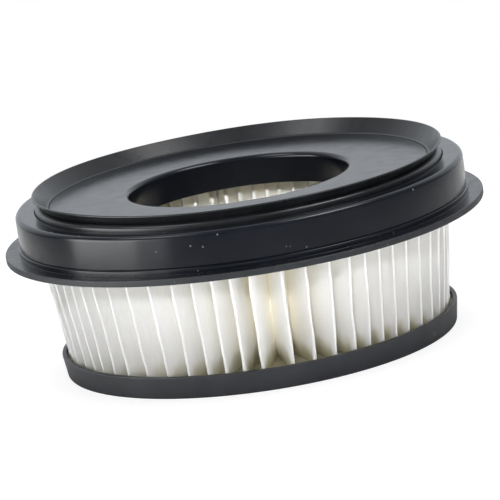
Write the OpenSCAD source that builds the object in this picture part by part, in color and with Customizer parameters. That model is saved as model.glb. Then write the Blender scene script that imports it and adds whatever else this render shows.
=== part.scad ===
// Round pleated cartridge filter for a vacuum cleaner, standing on its closed end with the outlet on top.
// +Z is the filter's axis. The origin is the centre of the closed end's flat outer face.

/* [Cap] */
// Diameter of the cap's shoulder, which plugs into the vacuum's filter seat
shoulder_d = 131; // [124:0.5:144]
// Height of the shoulder's top above the flange's underside
shoulder_h = 13.2; // [12.5:0.1:18]
// Rounding of the shoulder's top edge
shoulder_round = 1.4; // [0.4:0.1:1.6]
// Wall thickness of the shoulder
shoulder_wall = 1.8; // [1.2:0.1:2.4]
// Width of the flange outside the shoulder
flange_w = 4.5; // [2.5:0.1:8]
// Thickness of the flange
flange_t = 1.9; // [1.2:0.1:2.4]
// Height of the step between the flange and the shoulder
step_h = 1.6; // [0.8:0.1:2]
// How far the step stands out from the shoulder
step_out = 0.35; // [0.2:0.05:0.8]
// Depth of the narrow groove above the step
foot_groove = 0.35; // [0.2:0.05:0.6]
// Rounding of the flange's edge and the step's edge
edge_round = 0.35; // [0.1:0.05:0.5]

/* [Outlet] */
// Diameter of the outlet's bore
outlet_d = 64; // [50:0.5:66]
// Rounding of the plate into the bore
outlet_round = 1.4; // [0.5:0.1:2]
// Length of the collar from the plate's face down to its open end
collar_h = 8.9; // [7.5:0.1:11]
// Wall thickness of the collar
collar_wall = 1.6; // [1.2:0.1:2]
// Height of the plate's face above the shoulder's top
plate_rise = 0.5; // [0:0.1:1]
// Thickness of the plate
plate_t = 1.8; // [1.2:0.1:2.2]

/* [Seal seat] */
// Width of the shoulder's top between the seal and the shoulder's side
land_w = 5.7; // [4.6:0.1:7]
// Width of the rebate that holds the seal
seat_w = 4.5; // [4:0.1:5.5]
// Depth of the rebate below the shoulder's top
seat_depth = 1.6; // [1:0.1:2]
// Thickness of the cap under and beside the rebate
seat_wall = 1.6; // [1.2:0.1:2]
// Clearance beside the seal in its rebate
seal_gap = 0.15; // [0.1:0.05:0.3]

/* [Seal] */
// Height of the lip's rim above the shoulder's top
lip_h = 4.8; // [3.6:0.1:6.5]
// Slope of the lip above the plate, in degrees
lip_slope = 51; // [48:1:60]
// Thickness of the lip
lip_t = 0.75; // [0.6:0.05:1]
// Rounding of the lip's inner side into the plate
lip_root = 1; // [0.5:0.1:1.5]
// Height of the seal's outer bead above the shoulder's top
bead_h = 1.75; // [1.3:0.05:2.2]
// Height of the bead's upright side above the shoulder's top
bead_side = 0.45; // [0:0.05:0.8]
// Width of the bead's rounded side, from its crest outwards
bead_w = 1.7; // [1.2:0.1:2]
// Distance from the bead's crest in to the neck under the lip
neck_in = 0.45; // [0.2:0.05:0.6]
// Depth of the neck below the bead's crest
neck_depth = 0.4; // [0.2:0.05:0.6]

/* [Pleats] */
// Number of pleats
pleat_count = 60; // [40:1:72]
// Depth of a pleat from its outer fold to its inner fold
pleat_depth = 20; // [14:0.5:21]
// Clearance between the pleats' outer folds and the cap's wall at the top end
pack_gap = 2.6; // [1.5:0.1:5]
// How much smaller the pack's radius is at the closed end
pack_taper = 5.1; // [0:0.1:6]
// Thickness of the filter sheet
sheet_t = 0.5; // [0.35:0.05:0.7]
// Space between the two layers inside a fold
fold_gap = 0.9; // [0.7:0.05:1.2]
// Length of the pleats that shows between the flange and the tray
pleat_show = 29.5; // [15:0.5:60]
// How far the pleats run up inside the cap
pleat_in_cap = 8; // [5:0.1:8.4]
// Direction of the first pleat
fold_phase = -147.7; // [-180:0.1:180]
// Slow drift of the spacing, twice round the pack, in degrees
drift_slow = 1.35; // [0:0.05:2]
// Quick drift of the spacing, eight times round the pack, in degrees
drift_quick = 1.15; // [0:0.05:1.4]

/* [Tray] */
// Height of the closed end's tray
tray_h = 6.5; // [5.5:0.1:12]
// Thickness of the tray's floor
tray_floor = 1.6; // [1.2:0.1:2.4]
// Thickness of the tray's wall at its rim
tray_wall = 1.4; // [1:0.1:2]
// Clearance between the pleats and the tray's wall at its rim
tray_gap = 0.6; // [0.3:0.05:1.2]
// Draft of the tray's outside, the rim's radius less the foot's
tray_draft = 0.9; // [0.2:0.05:1]
// Rounding of the tray's foot
tray_round = 0.5; // [0.2:0.05:0.6]
// Thickness of the tray's inner rib
rib_wall = 1.2; // [1:0.1:1.6]
// Clearance between the pleats' inner folds and the rib
rib_gap = 1.8; // [1:0.1:3]

/* [Potting] */
// Depth of the adhesive in the tray
tray_potting = 2.8; // [2:0.1:3.4]

/* [Hidden] */
$fn = 144;

// Where the two drifts of the pleats' spacing start, in degrees
slow_start = -73;
quick_start = 145;

// Levels along the axis
potting_top_z = tray_floor + tray_potting;
flange_z = tray_h + pleat_show;
flange_top_z = flange_z + flange_t;
step_top_z = flange_top_z + step_h;
pleat_top_z = flange_z + pleat_in_cap;
shoulder_top_z = flange_z + shoulder_h;
plate_z = shoulder_top_z + plate_rise;
seat_z = shoulder_top_z - seat_depth;
collar_end_z = plate_z - collar_h;

// Radii of the cap
shoulder_r = shoulder_d / 2;
trough_r = shoulder_r - shoulder_wall;
flange_r = shoulder_r + flange_w;
step_r = shoulder_r + step_out;
seat_out_r = shoulder_r - land_w;
seat_in_r = seat_out_r - seat_w;
outlet_r = outlet_d / 2;
collar_r = outlet_r + collar_wall;

// Radii of the pleat pack
pack_top_r = trough_r - pack_gap;
pack_end_r = pack_top_r - pack_taper;
function pack_r(z) = pack_end_r + pack_taper * (z - potting_top_z) / (pleat_top_z - potting_top_z);

// Radii of the tray
tray_in_r = pack_r(tray_h) + tray_gap;
tray_rim_r = tray_in_r + tray_wall;
tray_foot_r = tray_rim_r - tray_draft;
rib_out_r = pack_end_r - pleat_depth - rib_gap;
rib_in_r = rib_out_r - rib_wall;

// Points of an arc about (x, y), from angle a to angle b
function arc(x, y, r, a, b, steps = 6) =
    [for (i = [0 : steps]) let (t = a + (b - a) * i / steps) [x + r * cos(t), y + r * sin(t)]];

// The underside of the cap inside its trough, from the collar out to the shoulder's wall
function trough_roof() = [
    [collar_r, plate_z - plate_t],
    [seat_in_r - seat_wall, plate_z - plate_t],
    [seat_in_r - seat_wall, seat_z - seat_wall],
    [seat_out_r + seat_wall, seat_z - seat_wall],
    [seat_out_r + seat_wall, shoulder_top_z - shoulder_wall],
    [trough_r, shoulder_top_z - shoulder_wall]
];

// Centre angle of each outer fold: an even spacing with the slight drift of a pack folded and glued by hand
function fold_angle(i) = let (u = 360 * i / pleat_count)
    fold_phase + u + drift_slow * sin(2 * u + slow_start) + drift_quick * sin(8 * u + quick_start);

// A half round fold with its crest at radius r: side is 1 where the crest points out, -1 where it points in
function fold_points(r, angle, half_w, side) = [
    for (t = [-90 : 45 : 90])
        let (reach = r - side * half_w * (1 - cos(t)), turn = angle + atan(half_w * sin(t) / r))
            [reach * cos(turn), reach * sin(turn)]
];
// One skin of the sheet at a level, from the radii and half widths of its outer and inner folds
function skin(r_out, w_out, r_in, w_in) = [
    for (i = [0 : pleat_count - 1])
        let (a = fold_angle(i), b = (a + fold_angle(i + 1)) / 2)
            each concat(fold_points(r_out, a, w_out, 1), fold_points(r_in, b, w_in, -1))
];
fat_half = (fold_gap + sheet_t) / 2;
thin_half = (fold_gap - sheet_t) / 2;
function outer_skin(r) = skin(r, fat_half, r - pleat_depth + sheet_t, thin_half);
function inner_skin(r) = skin(r - sheet_t, thin_half, r - pleat_depth, fat_half);
function at_level(points, z) = [for (p = points) [p[0], p[1], z]];

// Closed end: a shallow tray with a rib inside, open upwards
module end_tray() {
    color([0.06, 0.065, 0.07])
        rotate_extrude() polygon(concat(
            [[0, 0]],
            arc(tray_foot_r - tray_round, tray_round, tray_round, -90, 0, 4),
            arc(tray_rim_r - edge_round, tray_h - edge_round, edge_round, 0, 90, 3),
            [[tray_in_r, tray_h], [tray_in_r, tray_floor]],
            [[rib_out_r, tray_floor], [rib_out_r, potting_top_z], [rib_in_r, potting_top_z]],
            [[rib_in_r, tray_floor], [0, tray_floor]]
        ));
}

// Adhesive in the tray, which holds the pleats' lower ends
module tray_potting_ring() {
    color([0.72, 0.72, 0.70])
        rotate_extrude() polygon([
            [rib_out_r, tray_floor], [tray_in_r, tray_floor],
            [tray_in_r, potting_top_z], [rib_out_r, potting_top_z]
        ]);
}

// Filter sheet folded into a ring of pleats, which widens towards the cap
module pleated_media() {
    levels = [
        at_level(outer_skin(pack_end_r), potting_top_z),
        at_level(outer_skin(pack_top_r), pleat_top_z),
        at_level(inner_skin(pack_top_r), pleat_top_z),
        at_level(inner_skin(pack_end_r), potting_top_z)
    ];
    n = len(levels[0]);
    color([0.93, 0.93, 0.90])
        polyhedron(
            points = [for (ring = levels) each ring],
            faces = [
                for (k = [0 : len(levels) - 1]) let (low = k * n, high = (k + 1) % len(levels) * n)
                    for (i = [0 : n - 1]) let (j = (i + 1) % n)
                        each [[low + i, high + i, high + j], [low + i, high + j, low + j]]
            ],
            convexity = 12
        );
}

// Adhesive under the cap's top, which holds the pleats' upper ends
module cap_potting_ring() {
    color([0.72, 0.72, 0.70])
        rotate_extrude() polygon(concat(
            trough_roof(), [[trough_r, pleat_top_z], [collar_r, pleat_top_z]]
        ));
}

// Cap: flange, step, shoulder, the seal's rebate, the plate and the outlet's collar in one moulding
module cap() {
    color([0.10, 0.105, 0.12])
        rotate_extrude() polygon(concat(
            [[trough_r, flange_z]],
            arc(flange_r - edge_round, flange_z + edge_round, edge_round, -90, 0, 3),
            arc(flange_r - edge_round, flange_top_z - edge_round, edge_round, 0, 90, 3),
            [[step_r, flange_top_z]],
            arc(step_r - edge_round, step_top_z - edge_round, edge_round, 0, 90, 3),
            [[shoulder_r - foot_groove, step_top_z], [shoulder_r, step_top_z + foot_groove]],
            arc(shoulder_r - shoulder_round, shoulder_top_z - shoulder_round, shoulder_round, 0, 90),
            [[seat_out_r, shoulder_top_z], [seat_out_r, seat_z], [seat_in_r, seat_z], [seat_in_r, plate_z]],
            arc(outlet_r + outlet_round, plate_z - outlet_round, outlet_round, 90, 180),
            [[outlet_r, collar_end_z], [collar_r, collar_end_z]],
            trough_roof()
        ));
}

// Soft seal: a ring seated in the rebate, with a beaded outside and a thin lip that flares up and out
module lip_seal() {
    body_r = seat_out_r - seal_gap;
    inner_r = seat_in_r + seal_gap;
    crest_r = body_r - bead_w;
    crest_z = shoulder_top_z + bead_h;
    side_z = shoulder_top_z + bead_side;
    bead = [for (t = [0 : 15 : 90]) [crest_r + bead_w * cos(t), side_z + (bead_h - bead_side) * sin(t)]];
    // The lip starts where its inner rounding has turned to the slope, and ends in a half round rim
    root = [inner_r + lip_root * sin(lip_slope), plate_z + lip_root * (1 - cos(lip_slope))];
    rim_z = shoulder_top_z + lip_h - lip_t / 2;
    lip_run = (rim_z - root[1] + cos(lip_slope) * lip_t / 2) / tan(lip_slope);
    rim_r = root[0] + lip_run + sin(lip_slope) * lip_t / 2;
    color([0.08, 0.085, 0.09])
        rotate_extrude() polygon(concat(
            [[inner_r, seat_z], [body_r, seat_z]],
            bead,
            [[crest_r - neck_in, crest_z - neck_depth]],
            arc(rim_r, rim_z, lip_t / 2, lip_slope - 90, lip_slope + 90, 8),
            arc(inner_r, plate_z + lip_root, lip_root, lip_slope - 90, -90)
        ));
}

end_tray();
tray_potting_ring();
pleated_media();
cap_potting_ring();
cap();
lip_seal();
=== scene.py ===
"""What shows of a round pleated vacuum filter that stands on its closed end, from the tray up."""
from math import atan2, copysign, cos, exp, pi, radians, sin, tan

import bmesh
import bpy
from mathutils import Matrix, Vector, noise


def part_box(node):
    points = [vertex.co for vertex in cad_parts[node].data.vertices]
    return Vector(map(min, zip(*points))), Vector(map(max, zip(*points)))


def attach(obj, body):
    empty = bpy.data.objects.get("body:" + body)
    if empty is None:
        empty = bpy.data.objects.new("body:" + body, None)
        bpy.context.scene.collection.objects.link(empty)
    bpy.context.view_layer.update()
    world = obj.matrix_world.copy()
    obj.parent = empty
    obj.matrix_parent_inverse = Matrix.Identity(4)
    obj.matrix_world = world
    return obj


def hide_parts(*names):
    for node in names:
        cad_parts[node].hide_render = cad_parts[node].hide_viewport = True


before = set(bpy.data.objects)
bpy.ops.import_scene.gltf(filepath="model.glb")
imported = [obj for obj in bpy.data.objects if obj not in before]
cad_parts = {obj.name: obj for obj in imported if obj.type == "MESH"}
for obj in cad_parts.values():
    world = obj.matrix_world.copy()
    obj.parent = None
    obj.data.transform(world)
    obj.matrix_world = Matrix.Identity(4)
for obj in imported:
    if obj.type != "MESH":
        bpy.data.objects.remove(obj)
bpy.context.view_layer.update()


# End tray: the closed end, one shallow moulding in black polypropylene. The lower ends of the pleats stand
# in it in adhesive. Its wall leans out slightly for the mould, and the rib inside keeps the adhesive in.
MM = 0.001
ROUND_STEPS = 288
DUST = (0.13, 0.135, 0.14, 1)
# A lighter grey painted on the cap's flange edge: a painted sheen where light catches it.
PAINTED_SHEEN_GREY = (0.022, 0.024, 0.027, 1)


def node_size(node):
    """Largest radius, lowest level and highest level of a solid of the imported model, in mm."""
    low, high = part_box(node)
    return high.x / MM, low.z / MM, high.z / MM


def arc(r, z, wide, high, start, end, steps):
    """Points of an elliptic arc in a section, about (r, z), from angle start to angle end."""
    turns = [radians(start + (end - start) * i / steps) for i in range(steps + 1)]
    return [(r + wide * cos(t), z + high * sin(t), 0) for t in turns]


def turned(name, section, shape=None):
    """A piece with a round section loop, turned about the axis. A corner is (radius, height, rounding) in mm.
    A section that starts and ends on the axis is left open there. shape moves a point of the piece."""
    bm = bmesh.new()
    corners = [bm.verts.new((r, 0, z)) for r, z, rounding in section]
    on_axis = section[0][0] == 0
    for start, end in zip(corners, corners[1:] if on_axis else corners[1:] + corners[:1]):
        bm.edges.new((start, end))
    for corner, (r, z, rounding) in zip(corners, section):
        if rounding:
            ahead, behind = (edge.other_vert(corner).co - corner.co for edge in corner.link_edges)
            reach = rounding / tan(ahead.angle(behind) / 2)
            bmesh.ops.bevel(bm, geom=[corner], offset=reach, offset_type="OFFSET", affect="VERTICES",
                            segments=5, profile=0.5, material=-1)
    bmesh.ops.spin(bm, geom=bm.verts[:] + bm.edges[:], cent=(0, 0, 0), axis=(0, 0, 1), angle=2 * pi,
                   steps=ROUND_STEPS, use_merge=True)
    bmesh.ops.remove_doubles(bm, verts=bm.verts, dist=1e-4)
    bmesh.ops.recalc_face_normals(bm, faces=bm.faces)
    if shape:
        for point in bm.verts:
            point.co = shape(point.co)
    return finished(name, bm)


def finished(name, bm):
    """An object from a mesh in mm, in metres, shaded smooth with its flat faces kept flat."""
    bmesh.ops.scale(bm, vec=(MM, MM, MM), verts=bm.verts)
    mesh = bpy.data.meshes.new(name)
    bm.to_mesh(mesh)
    bm.free()
    mesh.shade_smooth()
    piece = bpy.data.objects.new(name, mesh)
    bpy.context.scene.collection.objects.link(piece)
    flat_faces = piece.modifiers.new("Flat faces", "WEIGHTED_NORMAL")
    flat_faces.keep_sharp = True
    return piece


class Number:
    """A number or colour that varies over a surface. An expression on it adds the nodes that work it out."""

    def __init__(self, finish, socket):
        self.finish = finish
        self.socket = socket

    def maths(self, operation, first, second):
        return self.finish.node("Math", {"operation": operation}, {0: first, 1: second})

    def __add__(self, other):
        return self.maths("ADD", self, other)

    def __sub__(self, other):
        return self.maths("SUBTRACT", self, other)

    def __rsub__(self, other):
        return self.maths("SUBTRACT", other, self)

    def __mul__(self, other):
        return self.maths("MULTIPLY", self, other)

    def __lt__(self, other):
        return self.maths("LESS_THAN", self, other)

    def __or__(self, other):
        return self.maths("MAXIMUM", self, other)

    __radd__ = __add__
    __rmul__ = __mul__
    __ror__ = __or__

    def also(self, output):
        """Another output of the same node."""
        return Number(self.finish, self.socket.node.outputs[output])

    def between(self, low, high):
        """A smooth change from 0 at low to 1 at high. Where low is the larger, it runs the other way."""
        return self.finish.node("MapRange", {"interpolation_type": "SMOOTHSTEP"},
                                {"Value": self, "From Min": low, "From Max": high})


class Finish:
    """A material on the Principled shader. Its constants are the shader's own inputs."""

    def __init__(self, name, constants):
        self.material = bpy.data.materials.new(name)
        self.material.use_nodes = True
        self.tree = self.material.node_tree
        self.shader = self.tree.nodes["Principled BSDF"]
        for socket, value in constants.items():
            self.feed(self.shader.inputs[socket], value)
        self.place = self.node("TexCoord", {}, {}, "Object")

    def feed(self, socket, value):
        if isinstance(value, Number):
            self.tree.links.new(value.socket, socket)
        else:
            socket.default_value = value

    def node(self, kind, settings, inputs, output=0):
        """Adds a node of that kind, its settings first and then its inputs, and gives one of its outputs."""
        made = self.tree.nodes.new("ShaderNode" + kind)
        for setting, value in settings.items():
            setattr(made, setting, value)
        for socket, value in inputs.items():
            self.feed(made.inputs[socket], value)
        return Number(self, made.outputs[output])

    def mix(self, share, first, second):
        """The first colour where share is 0 and the second where it is 1."""
        return self.node("Mix", {"data_type": "RGBA"}, {0: share, 6: first, 7: second}, 2)

    def stretched(self, scale, turn=(0, 0, 0)):
        """The place on the piece, turned and then scaled along each axis."""
        return self.node("Mapping", {}, {"Vector": self.place, "Rotation": turn, "Scale": scale})

    def cloud(self, size, detail=2, place=None):
        """Noise about 0.5, whose blots are of that size in mm."""
        spread = {"Vector": place or self.place, "Scale": 1 / (size * MM), "Detail": detail}
        return self.node("TexNoise", {}, spread)

    def grains(self, spacing, size, share):
        """1 on scattered round grains: one in each cell of that spacing in mm, in that share of the cells."""
        near = self.node("TexVoronoi", {}, {"Vector": self.place, "Scale": 1 / (spacing * MM)}, "Distance")
        lot = self.node("SeparateColor", {}, {0: near.also("Color")})
        return (near < lot.also(1) * (size / spacing)) * (lot < share)

    def put(self, inputs, bumps):
        """Feeds the shader's inputs, and its normal from bumps laid over one another: (height, mm of depth)."""
        for socket, value in inputs.items():
            self.feed(self.shader.inputs[socket], value)
        normal = None
        for height, depth in bumps:
            under = {"Normal": normal} if normal else {}
            raised = {"Height": height, "Strength": 1.0, "Distance": depth * MM}
            normal = self.node("Bump", {}, raised | under)
        self.feed(self.shader.inputs["Normal"], normal)
        return self.material


def black_plastic(name, dark, light, gloss, dust_share, sheen_below_z, specks):
    """Satin black polypropylene: a fine moulded grain, cloudy handling marks and a little pale dust. Below the
    given level it is painted a lighter grey, a painted sheen for the light its edge catches, and it is rougher
    there. A speck is a larger fleck: (degrees from the camera's side, radius, z, size)."""
    finish = Finish(name, {"IOR": 1.49, "Specular IOR Level": 0.38})
    cloudy = finish.cloud(14, 3)
    handled = finish.cloud(5, 4)
    grain = finish.cloud(0.35, 2)
    ripple = finish.cloud(30, 1)
    dust = finish.grains(4.5, 0.22, dust_share) | finish.grains(2.1, 0.1, dust_share * 2)
    for angle, r, z, size in specks:
        centre = Vector((r * sin(radians(angle)), -r * cos(radians(angle)), z)) * MM
        away = finish.node("VectorMath", {"operation": "DISTANCE"}, {0: finish.place, 1: centre}, 1)
        dust = dust | (away < size / 2 * MM)
    height = finish.node("SeparateXYZ", {}, {0: finish.place}, 2)
    # Painted sheen: below the given level the colour goes to a lighter grey, standing in for light that the
    # edge catches.
    painted_edge_sheen = height.between((sheen_below_z + 0.1) * MM, (sheen_below_z - 0.2) * MM) * (0.5 + handled)
    colour = finish.mix(painted_edge_sheen, finish.mix(cloudy.between(0.3, 0.7), dark, light), PAINTED_SHEEN_GREY)
    return finish.put(
        {
            "Base Color": finish.mix(dust, colour, DUST),
            "Roughness": gloss + (handled - 0.5) * 0.16 + (dust | painted_edge_sheen) * 0.3,
        },
        [(ripple, 0.12), (grain, 0.006)],
    )


tray_rim_r, tray_foot_z, tray_rim_z = node_size("end_tray")
tray_floor = 1.6
tray_wall = 1.4
tray_draft = 0.9
rib_wall = 1.2
rib_out_r = 34.2
adhesive_r, adhesive_floor_z, adhesive_z = node_size("tray_potting_ring")

tray = turned("tray_shell", [
    (0, 0, 0),
    (tray_rim_r - tray_draft, 0, 0.5),
    (tray_rim_r, tray_rim_z, 0.35),
    (tray_rim_r - tray_wall, tray_rim_z, 0.2),
    (tray_rim_r - tray_wall, tray_floor, 0.3),
    (rib_out_r, tray_floor, 0.2),
    (rib_out_r, adhesive_z, 0.3),
    (rib_out_r - rib_wall, adhesive_z, 0.3),
    (rib_out_r - rib_wall, tray_floor, 0.3),
    (0, tray_floor, 0),
])
tray.data.materials.append(black_plastic(
    "tray_black", dark=(0.034, 0.036, 0.041, 1), light=(0.044, 0.047, 0.053, 1), gloss=0.45, dust_share=0.06,
    sheen_below_z=-1, specks=[(60, 58.0, 2.4, 1.1), (59.6, 58.0, 3.0, 0.8)],
))
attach(tray, "root")
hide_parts("end_tray")


# Tray adhesive: polyurethane that was poured into the tray and set round the pleats' lower ends. It creeps a
# little way up the tray's wall and the rib, and its skin is uneven, with a few small bubbles.
creep_width = 1.6
creep_height = 0.9
glue_rings = 30


def settled(point, level, up, wall_in, wall_out):
    """A point of poured adhesive: its free face, at that level, is uneven and creeps up at its two walls."""
    if abs(point.z - level) > 0.01:
        return point
    radius = point.xy.length
    from_wall = min(wall_out - radius, radius - wall_in)
    creep = creep_height * max(0.0, 1 - from_wall / creep_width) ** 2
    waves = 0.35 * noise.noise(point * 0.22) + 0.12 * noise.noise(point * 0.9)
    return point + Vector((0, 0, up * (creep + waves)))


def adhesive(name):
    """Set polyurethane: a greyish cream with a soft gloss, darker blots and pin bubbles, whose pits are painted
    darker as shade.
    """
    finish = Finish(name, {"IOR": 1.5})
    blots = finish.cloud(6, 4)
    bubbles = finish.grains(3.2, 0.5, 0.35)
    colour = finish.mix(blots.between(0.3, 0.75), (0.42, 0.40, 0.30, 1), (0.30, 0.28, 0.20, 1))
    return finish.put(
        {
            # Painted shade: the bubbles' pits are coloured darker.
            "Base Color": finish.mix(bubbles * 0.6, colour, (0.14, 0.13, 0.11, 1)),
            "Roughness": 0.42 + (blots - 0.5) * 0.3,
        },
        [(finish.cloud(2.4, 3), 0.12), (1 - bubbles, 0.1)],
    )


face_radii = [adhesive_r + (rib_out_r - adhesive_r) * i / glue_rings for i in range(glue_rings + 1)]
tray_glue = turned("tray_adhesive", [
    (rib_out_r, adhesive_floor_z, 0),
    (adhesive_r, adhesive_floor_z, 0),
    *[(r, adhesive_z, 0) for r in face_radii],
], lambda point: settled(point, adhesive_z, 1, rib_out_r, adhesive_r))
tray_glue.data.materials.append(adhesive("set_adhesive"))
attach(tray_glue, "root")
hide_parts("tray_potting_ring")


# Filter sheet: one strip of white nonwoven, 40.6 mm high and 2.42 m long when it is laid flat, folded into a
# closed ring of 60 pleats that widens towards the cap. Both its edges are set in adhesive. No two folds are
# quite alike, and the flanks bow a little.
pack_r, pack_bottom_z, pack_top_z = node_size("pleated_media")
fold_count = 60
sheet_thickness = 0.5
pleat_depth = 20
pack_taper = 5.1
fold_gap = 0.25
inner_gap = 0.9
pleat_lean = 2.25
first_fold = -147.7
open_pleat = 10.5
open_by = 1.1
open_reach = 2.5
fold_steps = 8
flank_steps = 6
turn_steps = 6
sheet_levels = 24
set_in = 0.5


def fold_angle(i):
    """Direction of an outer fold, in degrees: even steps with the slight drift of a pack folded by hand. One
    pleat in front stands open and pushes its neighbours aside."""
    u = 360 * i / fold_count
    drift = 1.35 * sin(radians(2 * u - 73)) + 1.15 * sin(radians(8 * u + 145))
    ahead = i % fold_count - open_pleat
    pushed = copysign(open_by, ahead) * exp((0.5 - abs(ahead)) / open_reach)
    return first_fold + u + drift + pushed


def wander(i, z, size, reach, lane):
    """A small offset of fold i at height z in mm, which changes over that size in mm and is at most reach."""
    return reach * noise.noise(Vector((i * 3.7 + lane * 17.3, z / size, lane * 5.1)))


def fold_point(i, z, share, outer):
    """A point round a fold of the sheet's outer skin. share goes from 0 to 1 round the half circle."""
    pack_radius = pack_r - pack_taper * (pack_top_z - z) / (pack_top_z - pack_bottom_z)
    half_turn = radians(-90 + 180 * share)
    if outer:
        pleat = i % fold_count
        angle = radians(fold_angle(i))
        crest = pack_radius + wander(pleat, z, 12, 0.25, 1) - 0.15
        half_width = (fold_gap + sheet_thickness) / 2 + wander(pleat, z, 11, 0.08, 2)
        drift = wander(pleat, z, 16, 0.45, 3) + wander(pleat, z, 3.5, 0.14, 4)
        side = 1
    else:
        valley = i % fold_count
        angle = radians((fold_angle(i) + fold_angle(i + 1)) / 2 + pleat_lean)
        crest = pack_radius - pleat_depth + sheet_thickness + wander(valley, z, 9, 0.4, 5)
        half_width = (inner_gap - sheet_thickness) / 2
        drift = wander(valley, z, 14, 0.4, 6)
        side = -1
    reach = crest - side * half_width * (1 - cos(half_turn))
    turn = angle + (half_width * sin(half_turn) + drift) / crest
    return Vector((reach * cos(turn), reach * sin(turn), z))


def flank_point(i, z, share, going_in):
    """A point of a flank: share goes from 0 at the fold before it to 1 at the fold after it."""
    if going_in:
        start, end = fold_point(i, z, 1, True), fold_point(i, z, 0, False)
    else:
        start, end = fold_point(i, z, 1, False), fold_point(i + 1, z, 0, True)
    across = (end - start).cross(Vector((0, 0, 1))).normalized()
    number = (2 * i + going_in) % (2 * fold_count)
    bow = wander(number, z, 18, 0.55, 7) * sin(pi * share)
    ripple = wander(number, z, 6, 0.2, 8) * sin(2 * pi * share)
    return start.lerp(end, share) + across * (bow + ripple)


pleat_steps = fold_steps + turn_steps + 2 * flank_steps


def folded(step, z):
    """A point of the folded strip, step by step along it from the first fold."""
    i, k = divmod(step, pleat_steps)
    if k < fold_steps:
        return fold_point(i, z, k / fold_steps, True)
    k -= fold_steps
    if k < flank_steps:
        return flank_point(i, z, k / flank_steps, True)
    k -= flank_steps
    if k < turn_steps:
        return fold_point(i, z, k / turn_steps, False)
    return flank_point(i, z, (k - turn_steps) / flank_steps, False)


def strip(first_step, last_step, low_z, high_z, levels):
    """A flat strip of sheet, ruled into steps and levels, and then folded."""
    bm = bmesh.new()
    steps = last_step - first_step
    bmesh.ops.create_grid(bm, x_segments=steps, y_segments=levels, size=0.5)
    for point in bm.verts:
        step = first_step + round((point.co.x + 0.5) * steps)
        level = round((point.co.y + 0.5) * levels) / levels
        point.co = folded(step, low_z + (high_z - low_z) * level)
    bmesh.ops.remove_doubles(bm, verts=bm.verts, dist=1e-4)
    bmesh.ops.recalc_face_normals(bm, faces=bm.faces)
    return bm


def filter_paper(name):
    """White nonwoven: pressed fibres and faint slanting creases. Deep in the pack, where little daylight
    reaches, it is painted a warmer cream as shade. Its olive foot is partly adhesive drawn into the sheet and
    partly painted
    shade: it lies only in the valleys and is stronger towards the right."""
    finish = Finish(name, {"IOR": 1.4, "Specular IOR Level": 0.25, "Subsurface Weight": 1.0,
                           "Subsurface Radius": (1.0, 1.0, 1.0), "Subsurface Scale": 0.9 * MM})
    from_left = finish.node("SeparateXYZ", {}, {0: finish.place})
    height = from_left.also(2)
    radius = finish.node("VectorMath", {"operation": "LENGTH"}, {0: finish.stretched((1, 1, 0))}, 1)
    taper_slope = pack_taper / (pack_top_z - pack_bottom_z)
    behind_folds = pack_r * MM - (pack_top_z * MM - height) * taper_slope - radius
    edge = finish.cloud(7, 3) * (5 * MM)
    # Olive foot: partly adhesive drawn up into the sheet near its lower edge, and partly painted shade, since
    # it is kept to the valleys behind the folds and made stronger towards the right.
    soak_and_foot_shade = (height + edge).between((pack_bottom_z + 8.5) * MM, (pack_bottom_z + 3.5) * MM)
    painted_valley_shade = behind_folds.between(0.6 * MM, 3.5 * MM) * (0.3 + 0.6 * from_left.between(-40 * MM, 5 * MM))
    mottle = finish.cloud(3, 4)
    fibres = finish.cloud(0.5, 4, finish.stretched((1, 1, 0.35)))
    creases = finish.cloud(2.2, 3, finish.stretched((1, 1, 0.25), (radians(24), radians(18), 0)))
    sheet_white = finish.mix(mottle.between(0.3, 0.7), (0.965, 0.962, 0.945, 1), (0.95, 0.946, 0.925, 1))
    # Painted shade: deep in the pack, behind the folds, the sheet's white goes to a warmer, darker cream.
    white_and_deep_shade = finish.mix(behind_folds.between(10 * MM, 19 * MM), sheet_white, (0.955, 0.935, 0.875, 1))
    return finish.put(
        {
            "Base Color": finish.mix(soak_and_foot_shade * painted_valley_shade, white_and_deep_shade, (0.50, 0.47, 0.32, 1)),
            "Roughness": 0.78 + (mottle - 0.5) * 0.2,
        },
        [(creases, 0.12), (fibres, 0.03)],
    )


sheet_bm = strip(0, fold_count * pleat_steps, pack_bottom_z - set_in, pack_top_z + set_in, sheet_levels)
bmesh.ops.solidify(sheet_bm, geom=sheet_bm.faces[:], thickness=sheet_thickness)
sheet = finished("filter_sheet", sheet_bm)
sheet.data.materials.append(filter_paper("filter_paper"))
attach(sheet, "root")
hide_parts("pleated_media")


# Cap adhesive: the same polyurethane in the trough under the cap's top, where the cap lay upside down when it
# was poured. It holds the pleats' upper ends, and shows from below between the pleats and the cap's wall.
trough_r, trough_glue_z, trough_top_z = node_size("cap_potting_ring")
collar_out_r = 33.6
plate_under_z = 47.9
trough_step_in_r = 53.7
trough_step_out_r = 61.4
trough_step_z = 46.0
trough_edge_z = 47.4

trough_radii = [collar_out_r + (trough_r - collar_out_r) * i / glue_rings for i in range(glue_rings + 1)]
cap_glue = turned("cap_adhesive", [
    (trough_r, trough_edge_z, 0),
    (trough_step_out_r, trough_edge_z, 0),
    (trough_step_out_r, trough_step_z, 0),
    (trough_step_in_r, trough_step_z, 0),
    (trough_step_in_r, plate_under_z, 0),
    (collar_out_r, plate_under_z, 0),
    *[(r, trough_glue_z, 0) for r in trough_radii],
], lambda point: settled(point, trough_glue_z, -1, collar_out_r, trough_r))
cap_glue.data.materials.append(bpy.data.materials["set_adhesive"])
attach(cap_glue, "root")
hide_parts("cap_potting_ring")


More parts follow.
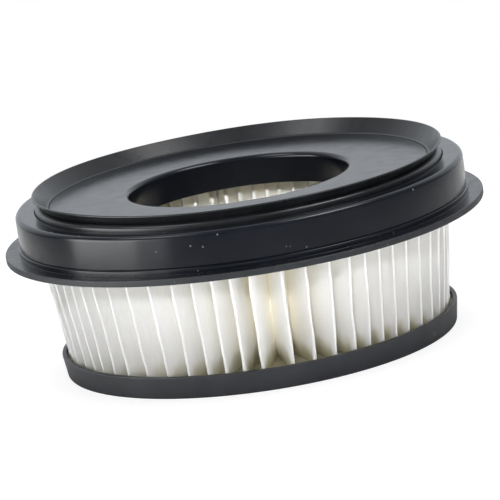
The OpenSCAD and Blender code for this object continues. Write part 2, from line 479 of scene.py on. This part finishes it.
# Cap: flange, step, shoulder, the seal's rebate, the plate and the outlet's collar, moulded as one piece in
# black polypropylene. The shoulder plugs into the vacuum cleaner, and the plate's edge rolls into the outlet.
flange_r, flange_z, plate_z = node_size("cap")
flange_top_z = flange_z + 1.9
step_top_z = flange_top_z + 1.6
shoulder_top_z = plate_z - 0.5
shoulder_r = flange_r - 4.5
step_r = shoulder_r + 0.35
foot_groove = 0.35
edge_round = 0.35
outlet_r = 32
outlet_round = 1.4
collar_end_z = plate_z - 8.9
seat_out_r = shoulder_r - 5.7
seat_in_r = seat_out_r - 4.5
seat_z = shoulder_top_z - 1.6

cap = turned("cap_shell", [
    (trough_r, flange_z, 0.2),
    (flange_r, flange_z, edge_round),
    (flange_r, flange_top_z, edge_round),
    (step_r, flange_top_z, 0.12),
    (step_r, step_top_z, edge_round),
    (shoulder_r - foot_groove, step_top_z, 0.08),
    (shoulder_r, step_top_z + foot_groove, 0.08),
    (shoulder_r, shoulder_top_z, outlet_round),
    (seat_out_r, shoulder_top_z, 0.15),
    (seat_out_r, seat_z, 0.05),
    (seat_in_r, seat_z, 0.05),
    (seat_in_r, plate_z, 0.1),
    (outlet_r, plate_z, outlet_round),
    (outlet_r, collar_end_z, 0.25),
    (collar_out_r, collar_end_z, 0.25),
    (collar_out_r, plate_under_z, 0),
    (trough_step_in_r, plate_under_z, 0),
    (trough_step_in_r, trough_step_z, 0),
    (trough_step_out_r, trough_step_z, 0),
    (trough_step_out_r, trough_edge_z, 0),
    (trough_r, trough_edge_z, 0),
])
cap_specks = [
    (-56, 64, shoulder_top_z, 0.45),
    (-44, 64.5, shoulder_top_z, 0.4),
    (-21, shoulder_r, 44.7, 0.35),
    (-19, 62.6, shoulder_top_z, 0.4),
    (-12, shoulder_r, 45.6, 0.5),
    (-9, shoulder_r, 45, 0.45),
    (-5, shoulder_r, 48, 0.45),
    (11, shoulder_r, 41.7, 0.35),
    (12, shoulder_r, 41.5, 0.3),
    (16, shoulder_r, 40.5, 0.35),
    (49, shoulder_r, 48.1, 0.55),
    (-11, step_r, 38.5, 0.35),
    (40, step_r, 38.3, 0.35),
    (-16, flange_r, 36.9, 0.3),
    (35, flange_r, 36.7, 0.35),
]
# Below the flange's top the cap is painted a lighter grey, a painted sheen on its edge.
cap.data.materials.append(black_plastic(
    "cap_black", dark=(0.003, 0.004, 0.0065, 1), light=(0.005, 0.006, 0.0095, 1), gloss=0.19, dust_share=0.1,
    sheen_below_z=flange_top_z, specks=cap_specks,
))
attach(cap, "root")
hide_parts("cap")


# Lip seal: a soft black ring pressed into the cap's rebate. Outside it has a rounded bead, and inside a thin
# lip that flares up and out over the bead. It was moulded by itself, so its rim isn't quite level all round.
lip_r, seal_foot_z, lip_rim_z = node_size("lip_seal")
seal_gap = 0.15
seal_out_r = seat_out_r - seal_gap
seal_in_r = seat_in_r + seal_gap
bead_w = 1.7
bead_top_z = shoulder_top_z + 1.75
bead_side_z = shoulder_top_z + 0.45
neck_in = 0.45
neck_depth = 0.4
lip_slope = 51
lip_t = 0.75
lip_root = 1.0
rim_z = lip_rim_z - lip_t / 2
rim_r = lip_r - lip_t / 2
rim_dip = 0.45


def slack(point):
    """The lip's rim dips a little here and there. Its root stays on the plate."""
    share = max(0.0, (point.z - bead_top_z) / (lip_rim_z - bead_top_z))
    turn = atan2(point.y, point.x)
    wave = 0.5 - 0.3 * sin(2 * turn + 0.6) - 0.2 * sin(5 * turn + 1.1)
    return point - Vector((0, 0, rim_dip * wave * share))


def soft_black(name):
    """Soft black rubber: a close matt grain, bloom in pale clouds, and dust that it holds."""
    finish = Finish(name, {"IOR": 1.5})
    bloom = finish.cloud(9, 4)
    streaks = finish.cloud(2.5, 3, finish.stretched((1, 1, 0.3)))
    grain = finish.cloud(0.25, 2)
    dust = finish.grains(3.6, 0.16, 0.06) | finish.grains(1.9, 0.09, 0.12)
    colour = finish.mix(bloom.between(0.35, 0.7), (0.005, 0.0055, 0.0065, 1), (0.0085, 0.009, 0.0105, 1))
    return finish.put(
        {
            "Base Color": finish.mix(dust, colour, DUST),
            "Roughness": 0.3 + (streaks - 0.5) * 0.16 + dust * 0.1,
        },
        [(bloom, 0.05), (grain, 0.005)],
    )


seal = turned("lip_ring", [
    (seal_in_r, seal_foot_z, 0.1),
    (seal_out_r, seal_foot_z, 0.1),
    *arc(seal_out_r - bead_w, bead_side_z, bead_w, bead_top_z - bead_side_z, 0, 90, 10),
    (seal_out_r - bead_w - neck_in, bead_top_z - neck_depth, 0),
    *arc(rim_r, rim_z, lip_t / 2, lip_t / 2, lip_slope - 90, lip_slope + 90, 10),
    *arc(seal_in_r, plate_z + lip_root, lip_root, lip_root, lip_slope - 90, -90, 8),
], slack)
seal.data.materials.append(soft_black("seal_black"))
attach(seal, "root")
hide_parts("lip_seal")


# Studio: a pale table in front of white. Four softboxes show only in the gloss of the black pieces, five
# light only matt faces, and a narrow spot reaches the inner folds through the outlet. Gloss sees a pale wall
# behind and a dimmer room in front, and the camera sees white.
def pale(material_name, tint, glow):
    """Pale stage paint: a plain diffuse face for the light, and mostly a glow of its own for the camera."""
    material = bpy.data.materials.new(material_name)
    material.use_nodes = True
    nodes, links = material.node_tree.nodes, material.node_tree.links
    nodes.clear()
    paint = nodes.new("ShaderNodeBsdfDiffuse")
    paint.inputs["Color"].default_value = tint
    faint_paint = nodes.new("ShaderNodeBsdfDiffuse")
    faint_paint.inputs["Color"].default_value = (0.25, 0.25, 0.25, 1)
    light = nodes.new("ShaderNodeEmission")
    light.inputs["Strength"].default_value = glow
    both = nodes.new("ShaderNodeAddShader")
    rays = nodes.new("ShaderNodeLightPath")
    choice = nodes.new("ShaderNodeMixShader")
    output = nodes.new("ShaderNodeOutputMaterial")
    links.new(faint_paint.outputs[0], both.inputs[0])
    links.new(light.outputs[0], both.inputs[1])
    links.new(rays.outputs["Is Camera Ray"], choice.inputs[0])
    links.new(paint.outputs[0], choice.inputs[1])
    links.new(both.outputs[0], choice.inputs[2])
    links.new(choice.outputs[0], output.inputs[0])
    return material


floor_bm = bmesh.new()
bmesh.ops.create_circle(floor_bm, cap_ends=True, segments=64, radius=270)
table = finished("table", floor_bm)
table.data.materials.append(pale("table_white", (0.82, 0.82, 0.82, 1), 0.88))


def softbox(name, azimuth, elevation, distance, width, height, glow, matt=True, gloss=True):
    """A soft lamp aimed at the filter. Azimuth 0 is the camera's side and 90 the right, as in the views.
    glow is its brightness, where 1 is white. It lights matt faces, shows in gloss, or both."""
    lamp = bpy.data.lights.new(name, "AREA")
    lamp.shape = "RECTANGLE"
    lamp.size = width
    lamp.size_y = height
    lamp.energy = glow * width * height * pi
    holder = bpy.data.objects.new(name, lamp)
    bpy.context.scene.collection.objects.link(holder)
    a, e = radians(azimuth), radians(elevation)
    away = Vector((sin(a) * cos(e), -cos(a) * cos(e), sin(e)))
    holder.location = away * distance + Vector((0, 0, 0.03))
    holder.rotation_mode = "QUATERNION"
    holder.rotation_quaternion = away.to_track_quat("Z", "Y")
    holder.visible_camera = False
    holder.visible_diffuse = matt
    holder.visible_glossy = gloss


softbox("left_box", -72, 6, 0.75, 0.55, 0.5, 6.0, matt=False)
softbox("left_edge_box", -44, 6, 0.8, 0.2, 0.5, 2.5, matt=False)
softbox("top_right_box", 62, 57, 0.9, 0.45, 0.3, 8.0, matt=False)
softbox("top_left_box", -65, 57, 0.9, 0.45, 0.3, 4.0, matt=False)
softbox("front_left_box", -58, 0, 1.0, 0.9, 0.3, 5.6, gloss=False)
softbox("front_right_box", 60, 0, 1.0, 0.9, 0.3, 6.2, gloss=False)
softbox("front_box", 0, 0, 1.0, 0.9, 0.3, 3.8, gloss=False)
softbox("back_box", 180, 25, 0.9, 1.4, 0.6, 2.5, gloss=False)
softbox("top_box", 0, 85, 0.9, 0.6, 0.6, 5.0, gloss=False)

spot_elevation = radians(24)
spot_target = Vector((0, 0.005, plate_z * MM))

spot = bpy.data.lights.new("outlet_spot", "SPOT")
spot.energy = 110
spot.spot_size = radians(3.6)
spot.spot_blend = 0.3
spot.shadow_soft_size = 0.05
spot_holder = bpy.data.objects.new("outlet_spot", spot)
bpy.context.scene.collection.objects.link(spot_holder)
aim = Vector((0, -cos(spot_elevation), sin(spot_elevation)))
spot_holder.location = aim + spot_target
spot_holder.rotation_mode = "QUATERNION"
spot_holder.rotation_quaternion = aim.to_track_quat("Z", "Y")
spot_holder.visible_glossy = False

world = bpy.data.worlds.new("studio")
bpy.context.scene.world = world
world.use_nodes = True
nodes, links = world.node_tree.nodes, world.node_tree.links
nodes.clear()
fill = nodes.new("ShaderNodeBackground")
fill.inputs["Color"].default_value = (1, 1, 1, 1)
fill.inputs["Strength"].default_value = 0.12
mirrored = nodes.new("ShaderNodeBackground")
mirrored.inputs["Color"].default_value = (0.9, 0.95, 1, 1)
direction = nodes.new("ShaderNodeTexCoord")
split = nodes.new("ShaderNodeSeparateXYZ")
links.new(direction.outputs["Generated"], split.inputs[0])
rise = nodes.new("ShaderNodeMath")
rise.operation = "MULTIPLY_ADD"
rise.inputs[1].default_value = 0.6
links.new(split.outputs[2], rise.inputs[0])
links.new(split.outputs[1], rise.inputs[2])
depth = nodes.new("ShaderNodeMapRange")
depth.interpolation_type = "SMOOTHSTEP"
depth.inputs["From Min"].default_value = 0.5
depth.inputs["From Max"].default_value = 0.95
depth.inputs["To Min"].default_value = 0.25
depth.inputs["To Max"].default_value = 0.95
links.new(rise.outputs[0], depth.inputs["Value"])
links.new(depth.outputs[0], mirrored.inputs["Strength"])
backdrop = nodes.new("ShaderNodeBackground")
backdrop.inputs["Color"].default_value = (1, 1, 1, 1)
rays = nodes.new("ShaderNodeLightPath")
gloss_choice = nodes.new("ShaderNodeMixShader")
choice = nodes.new("ShaderNodeMixShader")
output = nodes.new("ShaderNodeOutputWorld")
links.new(rays.outputs["Is Glossy Ray"], gloss_choice.inputs[0])
links.new(fill.outputs[0], gloss_choice.inputs[1])
links.new(mirrored.outputs[0], gloss_choice.inputs[2])
links.new(rays.outputs["Is Camera Ray"], choice.inputs[0])
links.new(gloss_choice.outputs[0], choice.inputs[1])
links.new(backdrop.outputs[0], choice.inputs[2])
links.new(choice.outputs[0], output.inputs[0])
bpy.context.scene.cycles.max_bounces = 24
bpy.context.scene.cycles.diffuse_bounces = 24


# Camera: a long lens 1.22 m away and 12 degrees above the filter's top, held with a roll, as the photograph
# was taken. What it aims at is the centre of the flange's underside.
picture_side = 500
focal_pixels = 4200
sensor = 36
view_turn = 1.82
view_height = 12.24
view_roll = -8.52
aim_in_view = Vector((-1.56, 7.47, -1220.9))

camera_data = bpy.data.cameras.new("camera")
camera_data.sensor_width = sensor
camera_data.lens = focal_pixels / picture_side * sensor
camera_data.clip_start = 0.05
camera_data.clip_end = 20
camera = bpy.data.objects.new("camera", camera_data)
bpy.context.scene.collection.objects.link(camera)
turn = (
    Matrix.Rotation(radians(view_turn), 3, "Z")
    @ Matrix.Rotation(radians(90 - view_height), 3, "X")
    @ Matrix.Rotation(radians(view_roll), 3, "Z")
)
camera.matrix_world = Matrix.Translation((Vector((0, 0, flange_z)) - turn @ aim_in_view) * MM) @ turn.to_4x4()
bpy.context.scene.camera = camera
bpy.context.scene.view_settings.view_transform = "Standard"
